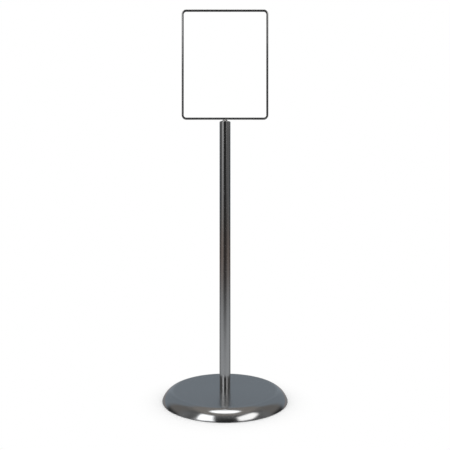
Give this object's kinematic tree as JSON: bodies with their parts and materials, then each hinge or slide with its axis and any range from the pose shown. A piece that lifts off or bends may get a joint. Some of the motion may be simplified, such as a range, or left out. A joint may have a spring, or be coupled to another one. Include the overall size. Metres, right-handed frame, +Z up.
{
  "type": "sign stand",
  "caption": "Free-standing sign stand: round weighted base with a rolled edge, slim tubular post, and an empty portrait channel frame that swivels on top.",
  "frame": {"origin": "on the floor, at the centre of the round base, on the post's axis", "axes": "+Z up along the post; the sign frame is flat in the XZ plane and faces -Y and +Y; +X to the right seen from the front (-Y)"},
  "size_m": [0.43, 0.43, 1.3475],
  "materials": {
    "cover_steel": "satin-polished stainless steel, spun",
    "post_steel": "satin-polished stainless steel tube, grain along the tube",
    "cap_steel": "turned stainless steel",
    "frame_steel": "polished stainless steel channel",
    "fastener_steel": "zinc-plated steel",
    "weight_iron": "cast iron, painted dark grey",
    "floor_rubber": "black rubber",
    "bearing_nylon": "natural nylon"
  },
  "bodies": {
    "stand": {"floor_ring": "floor_rubber", "base_weight": "weight_iron", "base_cover": "cover_steel", "base_washer": "fastener_steel", "base_lock_washer": "fastener_steel", "base_bolt": "fastener_steel", "post_plug": "fastener_steel", "post_tube": "post_steel", "post_cap": "cap_steel", "swivel_bush": "bearing_nylon"},
    "sign_head": {"sign_channel": "frame_steel", "swivel_stem": "fastener_steel", "neck_collar": "cap_steel", "neck_washer": "bearing_nylon", "friction_washer": "bearing_nylon", "disc_spring": "fastener_steel", "stem_washer": "fastener_steel", "stem_nut": "fastener_steel", "nut_insert": "bearing_nylon"}
  },
  "joints": [
    {"name": "sign_swivel", "type": "hinge", "parent": "stand", "child": "sign_head", "pos_m": [0, 0, 0.9595], "axis": [0, 0, 1], "continuous": true}
  ]
}
